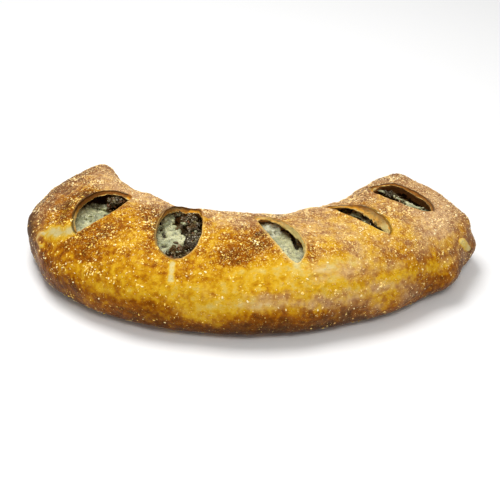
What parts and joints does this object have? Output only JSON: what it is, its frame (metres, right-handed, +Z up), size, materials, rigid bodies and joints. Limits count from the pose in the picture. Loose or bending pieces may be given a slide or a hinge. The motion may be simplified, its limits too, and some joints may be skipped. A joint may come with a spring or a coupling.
{
  "type": "meat stromboli",
  "caption": "Baked crescent loaf of golden dough, slashed across its crown, with browned meat and melted cheese showing in the openings.",
  "frame": {"origin": "middle of the bounding box, at the base that the loaf lies on", "axes": "+X along the loaf from its left end to its right end as seen from outside the bend, +Y towards the hollow side of the crescent, +Z up"},
  "size_m": [0.337, 0.1952, 0.0608],
  "materials": {
    "crust": "baked golden crust, thinly glazed with oil, browner at the ends and the base",
    "meat": "browned minced and sliced meat, moist",
    "cheese": "pale melted cheese, soft gloss"
  },
  "bodies": {
    "root": {"crust": "crust", "meat_filling": "meat", "melted_cheese": "cheese"}
  },
  "joints": []
}
